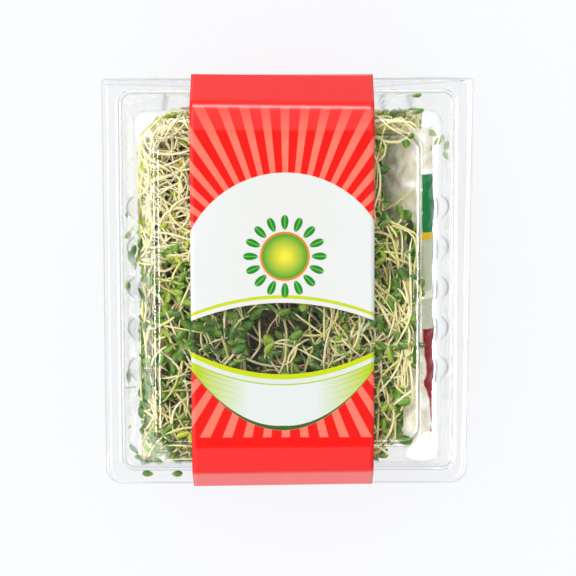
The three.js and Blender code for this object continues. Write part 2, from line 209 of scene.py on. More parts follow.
def clear_plastic(name, ripple, ripple_depth, roughness, clear_colour):
    """Clear sheet: the light goes straight through, less where it is steep, and its skin mirrors. Where it is bent,
    its shade is painted as a grey line.
    """
    material, tree = new_material(name)
    bump = uneven(tree, ripple, ripple_depth, Detail=1.0)[1]
    facing = add(tree, "LayerWeight", {"Blend": 0.5}).outputs["Facing"]
    steep = add(tree, "Math", {0: facing, 1: 4.0}, operation="POWER")
    through = add(tree, "Mix", {0: steep, 6: clear_colour, 7: "#F7F8F7"})
    # A sharp bend sends the light sideways; that shade is painted as a thin grey line, by each point's bend value
    bend = add(tree, "Attribute", attribute_name="bend").outputs["Fac"]
    lined = add(tree, "Mix", {0: bend, 6: through, 7: "#8F9491"})
    clear = add(tree, "BsdfTransparent", {"Color": lined})
    # An uncoated plastic surface mirrors a few hundredths face-on and most of what grazes it
    grazing = add(tree, "Math", {0: facing, 1: 5.0}, operation="POWER")
    mirrored = add(tree, "Math", {0: grazing, 1: 0.7, 2: 0.014}, operation="MULTIPLY_ADD")
    gloss = add(tree, "BsdfGlossy", {"Color": "#FFFFFF", "Roughness": roughness, "Normal": bump})
    add(tree, "OutputMaterial", {"Surface": add(tree, "MixShader", {0: mirrored, 1: clear, 2: gloss})})
    return material


def thermoformed_pet():
    """PET sheet drawn hot over a mould, whose chill leaves waves about 9 mm long in it."""
    return clear_plastic("thermoformed PET", 9, 0.035, 0.09, "#FEFEFE")


def clear_film():
    """Unprinted polypropylene film of the sleeve's window, drawn tight: its waves are longer and shallower."""
    return clear_plastic("clear polypropylene film", 24, 0.05, 0.12, "#FCFCFC")


# Layout of the sleeve's print, in millimetres across it and along it from the middle of its front.
# An arc is given by its heights at the middle and at the sleeve's edges.
DISC_CENTRE = (1.1, 4.7)
DISC_RADIUS = 38.3
RAYS = 54
WINDOW_TOP = (-4.4, -11.0)
WINDOW_BOTTOM = (-30.7, -22.3)
BOWL_BOTTOM = (-51.4, -29.3)
WREATH_CENTRE = (0.9, 12.6)
WREATH_RADIUS = 12.4
WREATH_LEAVES = 16
LEAF_HALF_WIDTH = 1.35
VEIN_HALF_WIDTH = 0.14
GREEN_DISC = 8.2
INK_EDGE = 0.1


def printed_film():
    """Polypropylene film printed by gravure: flat inks under a satin varnish, drawn tight round the pack."""
    material, tree = new_material("gravure-printed film")
    place = add(tree, "UVMap", uv_map="print")
    split = add(tree, "SeparateXYZ", {0: place})
    along = split.outputs[1]
    from_middle = add(tree, "Math", {0: split.outputs[0]}, operation="ABSOLUTE")
    to_edge = add(tree, "Math", {0: from_middle, 1: SLEEVE_HALF}, operation="DIVIDE")
    sag = add(tree, "Math", {0: to_edge, 1: 2.0}, operation="POWER")

    def below(arc):
        """How far a point is below an arc."""
        height = add(tree, "Math", {0: sag, 1: arc[1] - arc[0], 2: arc[0]}, operation="MULTIPLY_ADD")
        return add(tree, "Math", {0: height, 1: along}, operation="SUBTRACT")

    def round_centre(centre, repeats, fold):
        """Distance from a centre, and a value that rises and falls as it repeats round it."""
        offset = add(tree, "VectorMath", {0: place, 1: (*centre, 0.0)}, operation="SUBTRACT")
        sides = add(tree, "SeparateXYZ", {0: offset}).outputs
        angle = add(tree, "Math", {0: sides[1], 1: sides[0]}, operation="ARCTAN2")
        turns = add(tree, "Math", {0: angle, 1: repeats / math.tau}, operation="MULTIPLY")
        folded = add(tree, "Math", {0: turns, 1: fold}, operation="PINGPONG")
        return add(tree, "VectorMath", {0: offset}, operation="LENGTH"), folded

    def print_ink(base, ink, field, limit, where=1.0, edge=INK_EDGE):
        """Prints an ink over a colour where a field in mm is under its limit, as far as it is allowed there."""
        mask = add(tree, "MapRange", {"Value": field, 1: limit - edge, 2: limit + edge, 3: where, 4: 0.0})
        return add(tree, "Mix", {0: mask, 6: base, 7: ink})

    # Rays of a lighter ink spread from behind the disc; towards the crease they are painted fainter, as the darker
    # shade below the crease
    from_disc, folded = round_centre(DISC_CENTRE, 2 * RAYS, 1.0)
    fade = add(tree, "MapRange", {"Value": along, 1: 54.0, 2: 66.0, 3: 1.0, 4: 0.35})
    ray = add(tree, "MapRange", {"Value": folded, 1: 0.5, 2: 0.6, 3: 0.0, 4: fade})
    rays = add(tree, "Mix", {0: ray, 6: "#DC120A", 7: "#E6735F"})
    # Off-white disc above the window, a little bluer at its sides
    disc = {"Value": from_disc, 1: DISC_RADIUS - INK_EDGE, 2: DISC_RADIUS + INK_EDGE, 3: 1.0, 4: 0.0}
    disc = add(tree, "MapRange", disc)
    side = add(tree, "MapRange", {"Value": from_middle, 1: 8.0, 2: 30.0})
    paper = add(tree, "Mix", {0: side, 6: "#D5D6D3", 7: "#D6D9D7"})
    below_top = below(WINDOW_TOP)
    colour = print_ink(rays, paper, below_top, 0.0, disc)
    # A lime line follows the window's upper edge 2.2 mm above it
    off_line = add(tree, "Math", {0: below_top, 1: 2.2}, operation="ADD")
    off_line = add(tree, "Math", {0: off_line}, operation="ABSOLUTE")
    colour = print_ink(colour, "#B8C614", off_line, 0.6, disc)
    # Pale bowl below the window: lime sides with fine streaks, then a lime line, a white band and a lime rim
    depth, below_bottom = below(WINDOW_BOTTOM), below(BOWL_BOTTOM)
    lime_sides = add(tree, "MapRange", {"Value": from_middle, 1: 12.0, 2: 31.0})
    inner = add(tree, "Mix", {0: lime_sides, 6: "#D0D7D4", 7: "#AFC21A"})
    for level, half_width in ((5.6, 0.16), (7.2, 0.13), (9.4, 0.12), (11.8, 0.1)):
        off_streak = add(tree, "Math", {0: depth, 1: level}, operation="SUBTRACT")
        off_streak = add(tree, "Math", {0: off_streak}, operation="ABSOLUTE")
        inner = print_ink(inner, "#9DB432", off_streak, half_width, lime_sides, 2 * INK_EDGE)
    for level, ink in ((4.1, "#A9BB2A"), (3.6, "#CDD3CF"), (1.9, "#B9CA0C")):
        inner = print_ink(inner, ink, depth, level)
    below_window = add(tree, "MapRange", {"Value": depth, 1: -INK_EDGE, 2: INK_EDGE})
    bowl = {"Value": below_bottom, 1: -INK_EDGE, 2: INK_EDGE, 3: below_window, 4: 0.0}
    bowl = add(tree, "MapRange", bowl)
    colour = add(tree, "Mix", {0: bowl, 6: colour, 7: inner})
    # A dark line underlines the bowl, thickest at the middle
    line_top = add(tree, "MapRange", {"Value": from_middle, 1: 0.0, 2: 26.0, 3: -1.7, 4: -0.35})
    above_line = add(tree, "Math", {0: line_top, 1: below_bottom}, operation="SUBTRACT")
    colour = print_ink(colour, "#3F581C", above_line, 0.0, bowl)
    # A wreath of plain leaves, twice as long as they are wide, round a green disc with an orange edge
    from_wreath, folded = round_centre(WREATH_CENTRE, WREATH_LEAVES, 0.5)
    leaf_x = math.tau * WREATH_RADIUS / WREATH_LEAVES
    leaf_x = add(tree, "Math", {0: folded, 1: leaf_x}, operation="MULTIPLY")
    leaf_y = add(tree, "Math", {0: from_wreath, 1: 0.5, 2: -0.5 * WREATH_RADIUS}, operation="MULTIPLY_ADD")
    leaf = add(tree, "VectorMath", {0: add(tree, "CombineXYZ", {0: leaf_x, 1: leaf_y})}, operation="LENGTH")
    leaf_green = print_ink("#178029", "#7DBB3A", leaf_x, VEIN_HALF_WIDTH)
    colour = print_ink(colour, leaf_green, leaf, LEAF_HALF_WIDTH)
    colour = print_ink(colour, "#D67A1C", from_wreath, GREEN_DISC + 0.8)
    glow = add(tree, "MapRange", {"Value": from_wreath, 1: 0.5, 2: GREEN_DISC})
    glow = add(tree, "Mix", {0: glow, 6: "#E9D93C", 7: "#2F9430"})
    colour = print_ink(colour, glow, from_wreath, GREEN_DISC)
    # Past the crease, the flaps and the back are plain red
    past_crease = add(tree, "MapRange", {"Value": along, 1: 67.0, 2: 67.3})
    colour = add(tree, "Mix", {0: past_crease, 6: colour, 7: "#E20A03"})
    # Tension leaves long shallow waves in the film, and the varnish takes part of its shine
    inks = {"Base Color": colour, "Normal": uneven(tree, 26, 0.25, Detail=2.0)[1]}
    inks |= {"Roughness": 0.22, "IOR": 1.49, "Specular IOR Level": 0.35}
    add(tree, "OutputMaterial", {"Surface": add(tree, "BsdfPrincipled", inks)})
    return material


def sprout_skin(name, tones, grain_size, roughness, foot_colour, foot_share):
    """Living skin: its tone runs from fresh to old with the sprout's shade, and to a paler foot along it."""
    material, tree = new_material(name)
    along = add(tree, "Attribute", attribute_name="along").outputs["Fac"]
    shade = add(tree, "Attribute", attribute_name="shade").outputs["Fac"]
    tone = add(tree, "ValToRGB", {0: shade}, stops=tones)
    foot = add(tree, "MapRange", {"Value": along, 1: 0.0, 2: 0.45, 3: foot_share, 4: 0.0})
    paler = add(tree, "Mix", {0: foot, 6: tone, 7: foot_colour})
    grain, bump = uneven(tree, grain_size, 0.12, 0.4, Detail=3.0)
    mottled = {0: 0.3, 6: paler, 7: grain}
    mottled = add(tree, "Mix", mottled, blend_type="SOFT_LIGHT")
    skin = {"Base Color": mottled, "Roughness": roughness, "IOR": 1.4, "Normal": bump}
    # Light soaks a little way into the wet flesh
    skin |= {"Subsurface Weight": 0.25, "Subsurface Radius": (0.9, 1.0, 0.4), "Subsurface Scale": 0.8 * MM}
    add(tree, "OutputMaterial", {"Surface": add(tree, "BsdfPrincipled", skin)})
    return material


def sprout_stem():
    """Stem and root of a sprout: a wet juicy thread, cream when fresh, greener or browner when old."""
    tones = [(0.0, "#FBF3CE"), (0.35, "#F4EBA8"), (0.6, "#DFDB84")]
    tones += [(0.8, "#D2B97E"), (0.93, "#B98862"), (1.0, "#A8683C")]
    return sprout_skin("sprout stem", tones, 0.7, 0.32, "#F3E7CB", 0.35)


def seed_leaf():
    """Seed leaf of a sprout: smooth, fleshy and faintly waxy, yellow where it grew in the dark."""
    tones = [(0.0, "#EADC3C"), (0.14, "#CDD040"), (0.3, "#A3BF3C"), (0.6, "#719F30"), (1.0, "#447326")]
    return sprout_skin("seed leaf", tones, 0.9, 0.3, "#D3D98A", 0.5)


def shaded_matted_roots():
    """Inside of the tangle, where roots and leaves mat together: painted dark as their shade, in strands about 3 mm
    wide.
    """
    material, tree = new_material("matted roots")
    strands, bump = uneven(tree, 3, 1.5, Detail=4.0, Distortion=2.5)
    tone = add(tree, "ValToRGB", {0: strands}, stops=[(0.3, "#1A1A08"), (0.5, "#423F18"), (0.7, "#7E7636")])
    mat = {"Base Color": tone, "Roughness": 0.7, "Normal": bump}
    add(tree, "OutputMaterial", {"Surface": add(tree, "BsdfPrincipled", mat)})
    return material


def sachet_laminate(name, bands, panel, gap_shade_spot=None):
    """Laminated film of a sachet, printed inside its clear web, matt-lacquered, and crumpled by its filling."""
    material, tree = new_material(name)
    place = add(tree, "UVMap", uv_map="print")
    split = add(tree, "SeparateXYZ", {0: place})
    from_edge, along = split.outputs[0], split.outputs[1]
    start, end, wide, drawn_in = panel
    # The panel is as wide as it is at the sachet's upper end, and narrows near its lower end
    share = add(tree, "MapRange", {"Value": along, 1: start, 2: end})
    narrowing = add(tree, "Math", {0: share, 1: 2.5}, operation="POWER")
    width = add(tree, "Math", {0: narrowing, 1: -drawn_in, 2: wide}, operation="MULTIPLY_ADD")
    past_side = add(tree, "Math", {0: from_edge, 1: width}, operation="SUBTRACT")
    above_end = add(tree, "MapRange", {"Value": along, 1: end - INK_EDGE, 2: end + INK_EDGE})
    in_length = {"Value": along, 1: start - INK_EDGE, 2: start + INK_EDGE, 3: above_end, 4: 0.0}
    in_length = add(tree, "MapRange", in_length)
    in_panel = {"Value": past_side, 1: -2 * INK_EDGE, 2: 2 * INK_EDGE, 3: in_length, 4: 0.0}
    in_panel = add(tree, "MapRange", in_panel)
    # Bands of ink run across the panel, along the sachet from its upper end to its lower one
    ink = add(tree, "ValToRGB", {0: share}, stops=bands)
    ink.color_ramp.interpolation = "CONSTANT"
    creases, bump = uneven(tree, 8, 1.3, 0.8, Detail=3.0, Distortion=1.2)
    # The web is painted darker down in the hollows of its creases, as their shade
    colour = add(tree, "ValToRGB", {0: creases}, stops=[(0.36, "#E6DFC4"), (0.6, "#FCFAF2")])
    if gap_shade_spot:
        # One dark oval, 4.4 mm by 11 mm, is painted beside the panel, as the shade of a gap between the sachet and
        # the sprouts
        offset = add(tree, "VectorMath", {0: place, 1: (*gap_shade_spot, 0.0)}, operation="SUBTRACT")
        offset = add(tree, "VectorMath", {0: offset, 1: (2.2, 5.5, 1.0)}, operation="DIVIDE")
        oval = add(tree, "VectorMath", {0: offset}, operation="LENGTH")
        within = add(tree, "MapRange", {"Value": oval, 1: 0.95, 2: 1.05, 3: 0.9, 4: 0.0})
        colour = add(tree, "Mix", {0: within, 6: colour, 7: "#25401C"})
    colour = add(tree, "Mix", {0: in_panel, 6: colour, 7: ink})
    # The lacquer takes most of the film's shine
    film = {"Base Color": colour, "Roughness": 0.2, "Specular IOR Level": 0.1, "Normal": bump}
    add(tree, "OutputMaterial", {"Surface": add(tree, "BsdfPrincipled", film)})
    return material


# ---- the clear pack ----

CORNER_STEPS = 10
SHORT_STEPS = 90
# Only the lid's long walls have lugs, which need fine steps
LID_LONG_STEPS, TRAY_LONG_STEPS = 130, 40
# The sheet turns up at the flange's trimmed edge, as inset, height and how dark the painted grey shade of its bend is
ROLLED_EDGE = ((0.0, 0.5, 0.2), (0.14, 0.2, 0.1), (0.4, 0.02, 0.0), (1.0, 0.0, 0.0))


def pack_ring(half_x, half_y, front_corner, back_corner, narrowing, height, long_steps):
    """A rounded rectangle round the pack, anticlockwise from its +X side, with the same points in each ring."""
    corners = [(1, 1, back_corner), (-1, 1, back_corner), (-1, -1, front_corner), (1, -1, front_corner)]
    arcs = []
    for quarter, (side, end, radius) in enumerate(corners):
        angles = (quarter + np.linspace(0, 1, CORNER_STEPS + 1)) * math.pi / 2
        centre = (side * (half_x - radius), end * (half_y - radius))
        arcs.append(centre + radius * np.column_stack([np.cos(angles), np.sin(angles)]))
    points = []
    for quarter, (arc, following) in enumerate(zip(arcs, arcs[1:] + arcs[:1])):
        steps = long_steps if quarter % 2 else SHORT_STEPS
        points += [arc, arc[-1] + (following[0] - arc[-1]) * np.arange(1, steps)[:, None] / steps]
    points = np.concatenate(points)
    # The flange gets narrower towards the front, at its +X side only
    points[:, 0] -= narrowing * (0.5 - points[:, 1] / (2 * half_y)) * np.clip(points[:, 0] / half_x, 0, 1)
    return np.column_stack([points, np.full(len(points), height)])


def half_profile(depth):
    """Rings of half the pack from its foot to its panel, as inset, height and how dark the painted grey shade of the
    sheet's bend is there.
    """
    # A bead stiffens the foot, then the wall leans in
    rows = [(-2.3, 0.0, 0.0), (-1.5, 0.02, 0.0), (-1.05, 0.3, 0.25), (-0.7, 0.62, 0.0), (-0.2, 0.66, 0.0)]
    rows += [(0.1, 0.5, 0.3), (0.3, 0.95, 0.0)]
    wall_top = depth - SHOULDER
    for share in (0.12, 0.24, 0.36, 0.46, 0.56, 0.66, 0.76, 0.86, 0.93, 0.975):
        rows.append((0.3 + (WALL_INSET - 0.3) * share, wall_top * share, 0.0))
    rows.append((WALL_INSET, wall_top, 0.12))
    run = PANEL_INSET - WALL_INSET
    for step in range(1, 13):
        angle = step / 14 * math.pi / 2
        rows.append((PANEL_INSET - run * math.cos(angle), wall_top + SHOULDER * math.sin(angle), 0.0))
    # A flat rim about a millimetre wide tilts outward, and the panel inside it is set lower by two steps
    rows += [(PANEL_INSET - 0.7, depth - 0.14, 0.0), (PANEL_INSET - 0.45, depth - 0.11, 0.0)]
    lower = [(0.1, 0.03, 0.0), (0.35, 0.02, 0.3), (0.45, 0.03, 0.0), (0.48, 0.034, 0.0), (0.5, 0.05, 0.0)]
    lower += [(0.85, 0.33, 0.0), (0.87, 0.346, 0.0), (0.9, 0.35, 0.0), (1.6, 0.36, 0.45), (2.1, 0.37, 0.0)]
    lower += [(2.13, 0.374, 0.0), (2.15, 0.39, 0.0), (2.45, 0.63, 0.0), (2.47, 0.646, 0.0), (2.5, 0.65, 0.0)]
    lower += [(2.8, 0.66, 0.1), (4.3, 0.7, 0.0), (9.0, 0.62, 0.0)]
    rows += [(PANEL_INSET + past, depth - drop, bend) for past, drop, bend in lower]
    return rows


def cut_facet(ring, inset, depth):
    """Flattens the four corners of the shoulder to the facets of the mould, and says which points it moved."""
    across, rise = math.sin(FACET_SLOPE), math.cos(FACET_SLOPE)
    reach = across * (FACET_REACH - 0.9 * max(inset - PANEL_INSET, 0)) + rise * depth
    diagonal = (np.abs(ring[:, 0]) + np.abs(ring[:, 1])) / math.sqrt(2)
    over = np.maximum(across * diagonal + rise * ring[:, 2] - reach, 0) / across
    ring[:, 0] -= np.sign(ring[:, 0]) * over / math.sqrt(2)
    ring[:, 1] -= np.sign(ring[:, 1]) * over / math.sqrt(2)
    return over > 0.02


def press_lugs(rings, bends, depth):
    """Presses the half-round lugs out of the two long walls, each with a top that slants up to the shoulder."""
    wall_top = depth - SHOULDER
    for order, ring in enumerate(rings):
        height = ring[0, 2]
        rise = (height - wall_top) / LUG_TOP_RISE
        if height < 1.0 or rise > 1:
            continue
        for lug in range(LUGS):
            away = ring[:, 1] - (lug - (LUGS - 1) / 2) * LUG_PITCH
            bulge = LUG_CENTRE + np.sqrt(np.maximum(LUG_RADIUS**2 - away**2, 0)) + 0.03 * max(wall_top - height, 0)
            bulge += (LUG_TOP_REACH - bulge) * max(rise, 0)
            reach = np.abs(ring[:, 0])
            wider = (np.abs(away) < LUG_RADIUS) & (bulge > reach) & (reach > LUG_TOP_REACH - 4)
            ring[wider, 0] = np.sign(ring[wider, 0]) * bulge[wider]
            # The lugs' outlines get the painted grey shade of a bend
            if abs(rise) < 0.01:
                bends[order] = np.where(wider, 0.6, bends[order])
            elif rise > 0.8:
                bends[order] = np.where(wider, 0.3, bends[order])


def pack_half(name, depth, flange_height, up, back_half, flange_inset, lid, material):
    """Half of the clear pack as one thin sheet, drawn from its flange to its panel."""
    rings, bends = [], []
    long_steps = LID_LONG_STEPS if lid else TRAY_LONG_STEPS
    for inset, height, bend in ROLLED_EDGE:
        half_y = (FLANGE_HALF[1] + back_half) / 2 - inset
        half_x = FLANGE_HALF[0] - flange_inset - inset
        ring = pack_ring(half_x, half_y, FLANGE_CORNER, HINGE_CORNER, FLANGE_NARROWING, height, long_steps)
        ring[:, 1] += (back_half - FLANGE_HALF[1]) / 2
        # A flange that is set in was trimmed a little unevenly, and its right edge waves
        ring[:, 0] -= 0.25 * flange_inset * (ring[:, 0] > 0) * (1 + np.sin(ring[:, 1] * 0.075 + 1.2))
        rings.append(ring)
        bends.append(np.full(len(ring), bend))
    for inset, height, bend in half_profile(depth):
        share = min(max(inset / PANEL_INSET, 0), 1)
        corner = max(FOOT_CORNER + (PANEL_CORNER - FOOT_CORNER) * share - min(inset, 0), 1.0)
        rings.append(pack_ring(FOOT_HALF[0] - inset, FOOT_HALF[1] - inset, corner, corner, 0, height, long_steps))
        cut = cut_facet(rings[-1], inset, depth)
        # The bends' painted grey shade is lighter at the facets, and along the left shoulder, where the lamps light
        # the bends
        left_shade_share = np.where(rings[-1][:, 0] < -20, 0.4, 1.0) if inset > PANEL_INSET else 1.0
        bends.append(np.full(len(rings[-1]), bend) * np.where(cut, 0.6, 1.0) * left_shade_share)
    if lid:
        press_lugs(rings, bends, depth)
    for order, ring in enumerate(rings[len(ROLLED_EDGE) :], len(ROLLED_EDGE)):
        # Shallow ribs stiffen the end wall at the hinge, and their bends get a painted grey shade
        if 1.0 < ring[0, 2] < depth - SHOULDER + 0.5:
            at_hinge = ring[:, 1] > FOOT_HALF[1] - PANEL_INSET
            for rib in RIBS:
                near = np.exp(-(((np.abs(ring[:, 0]) - rib) / RIB_WIDTH) ** 2)) * at_hinge
                ring[:, 1] += RIB_HEIGHT * near
                bends[order] = bends[order] + 0.3 * near
    # The panel sags a little towards its middle
    for share in (0.7, 0.35, 0.02):
        inner = rings[-1].copy()
        inner[:, :2] *= share
        inner[:, 2] = depth - 0.62 + 0.2 * (1 - share**2)
        rings.append(inner)
        bends.append(np.zeros(len(inner)))
    count = len(rings[0])
    points = np.concatenate(rings)
    points[:, 2] = flange_height + up * points[:, 2]
    faces = quads_between(len(rings), count, closed=True).tolist()
    faces.append(list(range(len(points) - count, len(points))))
    if up < 0:
        faces = [face[::-1] for face in faces]
    piece = make_piece(name, points, faces, [material])
    # The tray's bends lie behind the lid's, and their painted grey shade is lighter
    point_values(piece, "bend", np.concatenate(bends) * (1.0 if lid else 0.3))
    give_thickness(piece, SHEET)
    return piece


def hinge_strip(material):
    """The folded strip along the hinge side, where the sheet turns from the lid into the tray."""
    radius, steps, turns = FOLD_RADIUS, FOLD_LENGTH_STEPS, FOLD_TURNS
    half = FLANGE_HALF[0] - 1.0
    top = LID_FLANGE + 0.12
    points, bends = [], []
    for step in range(steps + 1):
        x = -half + 2 * half * step / steps
        # Towards the corner at +X the fold bows out, and the strip's inner edge runs askew
        reach = FLANGE_HALF[1] - 0.35 + 0.5 * math.exp(-(((x - 54) / 9) ** 2)) - 1.1 * max(0, (x - 57) / 10) ** 1.3
        inner = FOLD_INNER_EDGE + 2.4 * min(max((x - 30) / 36, 0), 1) + 1.2 * min(max((-x - 20) / 45, 0), 1)
        column = [(inner, top - 0.02, 0.0), (inner + 0.35, top + 0.16, 0.12), (inner + 0.7, top, 0.0)]
        column += [(reach - radius - 0.3, top, 0.0)]
        for turn in range(turns + 1):
            angle = math.pi / 2 - turn / turns * math.pi
            place = (reach - radius + radius * math.cos(angle), top - radius + radius * math.sin(angle))
            column.append((*place, 0.12 if turn == turns // 2 else 0.04))
        column.append((reach - 2.2, top - 2 * radius, 0.0))
        points += [(x, y, z) for y, z, bend in column]
        bends += [bend for y, z, bend in column]
    piece = make_piece("living_hinge", points, quads_between(steps + 1, len(column))[:, ::-1], [material])
    # The fold's bends get the painted grey shade of the clear sheet
    point_values(piece, "bend", bends)
    give_thickness(piece, SHEET / 2)
    return piece


# ---- the sleeve ----

SLEEVE_COLUMNS = 41


def fillet(points, radii, steps=8):
    """A path in Y and Z with each inner corner rounded to its own radius."""
    path = [np.array(points[0], float)]
    for before, corner, after, radius in zip(points, points[1:], points[2:], radii):
        before, corner, after = (np.array(p, float) for p in (before, corner, after))
        back, on = unit(before - corner), unit(after - corner)
        half_angle = math.acos(np.clip(back @ on, -1, 1)) / 2
        longest = 0.45 * min(np.linalg.norm(before - corner), np.linalg.norm(after - corner))
        cut = min(radius / math.tan(half_angle), longest)
        start, end = corner + back * cut, corner + on * cut
        for step in range(steps + 1):
            t = step / steps
            path.append((1 - t) ** 2 * start + 2 * t * (1 - t) * corner + t**2 * end)
    path.append(np.array(points[-1], float))
    return path


def split_long(path, longest):
    """Adds points to a path so that none of its steps is long."""
    dense = [path[0]]
    for start, end in zip(path, path[1:]):
        pieces = max(1, math.ceil(np.linalg.norm(end - start) / longest))
        dense += [start + (end - start) * (i + 1) / pieces for i in range(pieces)]
    return np.array(dense)


def make_sleeve(materials):
    """The film band: rows of its front follow the window's edges, and the rest runs round the pack."""
    columns = np.linspace(-SLEEVE_HALF, SLEEVE_HALF, SLEEVE_COLUMNS)
    reach = sleeve_high.y - 0.3
    middle = (TRAY_FLANGE + LID_FLANGE) / 2
    top = SLEEVE_TOP
    down = [(SLEEVE_PANEL, top), (SLEEVE_CREASE, top - SLEEVE_CREASE_DROP), (reach, middle + 1.5)]
    down += [(reach, middle - 1.5), (SLEEVE_CREASE + 2, SLEEVE_CREASE_DROP), (SLEEVE_PANEL, 0.0), (0.0, 0.0)]
    edge = SLEEVE_PANEL - 4.0
    outline = [(edge, top)] + down + [(-y, z) for y, z in down[-2::-1]] + [(-edge, top)]
    # The film turns softly at the panel and at the crease, and sharply round the flanges
    radii = [4.0, 6.0, 1.7, 1.7, 4.0, 4.0]
    path = split_long(fillet(outline, [*radii, 1.0, *radii[::-1]]), 2.0)
    lengths = np.concatenate([[0], np.cumsum(np.linalg.norm(np.diff(path, axis=0), axis=1))])
    share = (columns / SLEEVE_HALF) ** 2
    upper = WINDOW_TOP[0] + (WINDOW_TOP[1] - WINDOW_TOP[0]) * share
    lower = WINDOW_BOTTOM[0] + (WINDOW_BOTTOM[1] - WINDOW_BOTTOM[0]) * share
    rows, print_rows, kinds = [], [], []
    edges = np.full_like(columns, edge)
    for start, end, steps, kind in ((-edges, lower, 18, 0), (lower, upper, 16, 1), (upper, edges, 40, 0)):
        for step in range(steps):
            y = start + (end - start) * step / steps
            # Film drawn over the lid's panel waves by a few tenths of a millimetre
            fade = np.clip((edge - np.abs(y)) / 8, 0, 1)
            z = top - fade * (0.14 + 0.12 * np.sin(y * 0.16 + 0.5) * np.cos(columns * 0.05))
            rows.append(np.column_stack([columns, y, z]))
            print_rows.append(np.column_stack([columns, y]))
            kinds.append(kind)
    for (y, z), length in zip(path[:-1], lengths[:-1]):
        # The creases aren't quite square to the sleeve
        skew = 0.012 * columns * (z > middle) * np.clip((abs(y) - edge) / 8, 0, 1) * np.sign(y)
        rows.append(np.column_stack([columns, np.full_like(columns, y) - skew, np.full_like(columns, z)]))
        print_rows.append(np.column_stack([columns, np.full_like(columns, edge + length)]))
        kinds.append(0)
    print_rows.append(np.column_stack([columns, np.full_like(columns, edge + lengths[-1])]))
    points = np.concatenate(rows)
    points[:, 0] += SLEEVE_SHIFT
    # The last row of faces closes the band on the first row of points
    quads = quads_between(len(print_rows), len(columns))
    slots = np.repeat(kinds, len(columns) - 1)
    piece = make_piece("film_sleeve", points, quads % len(points), materials, slots)
    lay_print(piece, np.concatenate(print_rows)[quads])
    give_thickness(piece, FILM)
    return piece


# ---- the sprouts ----


def plane(normal, through):
    """A plane that bounds a space, as its outward normal and how far it reaches along it."""
    normal = unit(np.array(normal, float))
    return normal, float(normal @ np.array(through, float))


def pack_walls():
    """Planes that bound the inside of the closed pack."""
    planes = []
    run, rise = PANEL_INSET - WALL_INSET, SHOULDER
    foot_x, foot_y = FOOT_HALF
    cut = 0.32 * PANEL_CORNER
    for up, flange, depth in ((1, LID_FLANGE, LID_DEPTH), (-1, TRAY_FLANGE, TRAY_FLANGE)):
        wall_top = flange + up * (depth - SHOULDER)
        lean = up * WALL_INSET / (depth - SHOULDER)
        planes.append(plane((0, 0, up), (0, 0, flange + up * (depth - 1.1))))
        for side in (-1, 1):
            planes.append(plane((side, 0, lean), (side * foot_x, 0, flange)))
            planes.append(plane((0, side, lean), (0, side * foot_y, flange)))
            planes.append(plane((side * rise, 0, up * run), (side * (foot_x - WALL_INSET), 0, wall_top)))
            planes.append(plane((0, side * rise, up * run), (0, side * (foot_y - WALL_INSET), wall_top)))
            for end in (-1, 1):
                planes.append(plane((side, end, 2 * lean), (side * (foot_x - cut), end * (foot_y - cut), flange)))
                diagonal = math.sin(FACET_SLOPE) / math.sqrt(2)
                facet = (side * FACET_REACH / math.sqrt(2), end * FACET_REACH / math.sqrt(2), flange + up * depth)
                planes.append(plane((side * diagonal, end * diagonal, up * math.cos(FACET_SLOPE)), facet))
    return planes


def room_inside(planes, points):
    """How far each point is inside each plane."""
    return np.stack([reach - points @ normal for normal, reach in planes], axis=-1)


def sweep(paths, widths, heights, side):
    """Closed threads or blades along paths, with four points round each: their points and their quads."""
    count, steps, _ = paths.shape
    tangents = unit(np.gradient(paths, axis=1))
    rings = np.empty((count, steps, 4, 3))
    for step in range(steps):
        tangent = tangents[:, step]
        side = unit(side - np.sum(side * tangent, axis=1, keepdims=True) * tangent)
        up = np.cross(tangent, side)
        across, rise = side * widths[:, step, None], up * heights[:, step, None]
        for corner, offset in enumerate((across, rise, -across, -rise)):
            rings[:, step, corner] = paths[:, step] + offset
    index = np.arange(count * steps * 4).reshape(count, steps, 4)
    low, high = index[:, :-1], index[:, 1:]
    quads = np.stack([low, np.roll(low, -1, 2), np.roll(high, -1, 2), high], axis=-1).reshape(-1, 4)
    return rings.reshape(-1, 3), np.concatenate([quads, index[:, 0, ::-1], index[:, -1]])


def wander(rng, tips, headings, lengths, curl, planes, margins, steps):
    """Paths that start at the tips and wind back through the tangle, inside every plane."""
    count = len(tips)
    paths = np.empty((count, steps + 1, 3))
    paths[:, 0] = tips
    direction = -headings
    axis = unit(rng.normal(size=(count, 3)))
    stride = (lengths / steps)[:, None]
    for step in range(1, steps + 1):
        axis = unit(axis + 0.22 * rng.normal(size=(count, 3)))
        direction = unit(direction + curl[:, None] * stride * np.cross(axis, direction))
        place = paths[:, step - 1] + direction * stride
        for normal, reach in planes:
            over = np.maximum(place @ normal - (reach - margins), 0)[:, None]
            place = place - over * normal
            outward = np.maximum(direction @ normal, 0)[:, None]
            direction = unit(direction - np.where(over > 0, 1.05 * outward, 0) * normal)
        paths[:, step] = place
    smooth = paths.copy()
    smooth[:, 1:-1] = 0.25 * paths[:, :-2] + 0.5 * paths[:, 1:-1] + 0.25 * paths[:, 2:]
    return smooth


LEAF_WIDTHS = np.array([0.16, 0.6, 0.97, 1.0, 0.72, 0.14])
LEAF_HEIGHTS = np.array([0.3, 0.27, 0.24, 0.22, 0.18, 0.08])
LEAF_STATIONS = np.array([0.0, 0.16, 0.4, 0.66, 0.88, 1.0])


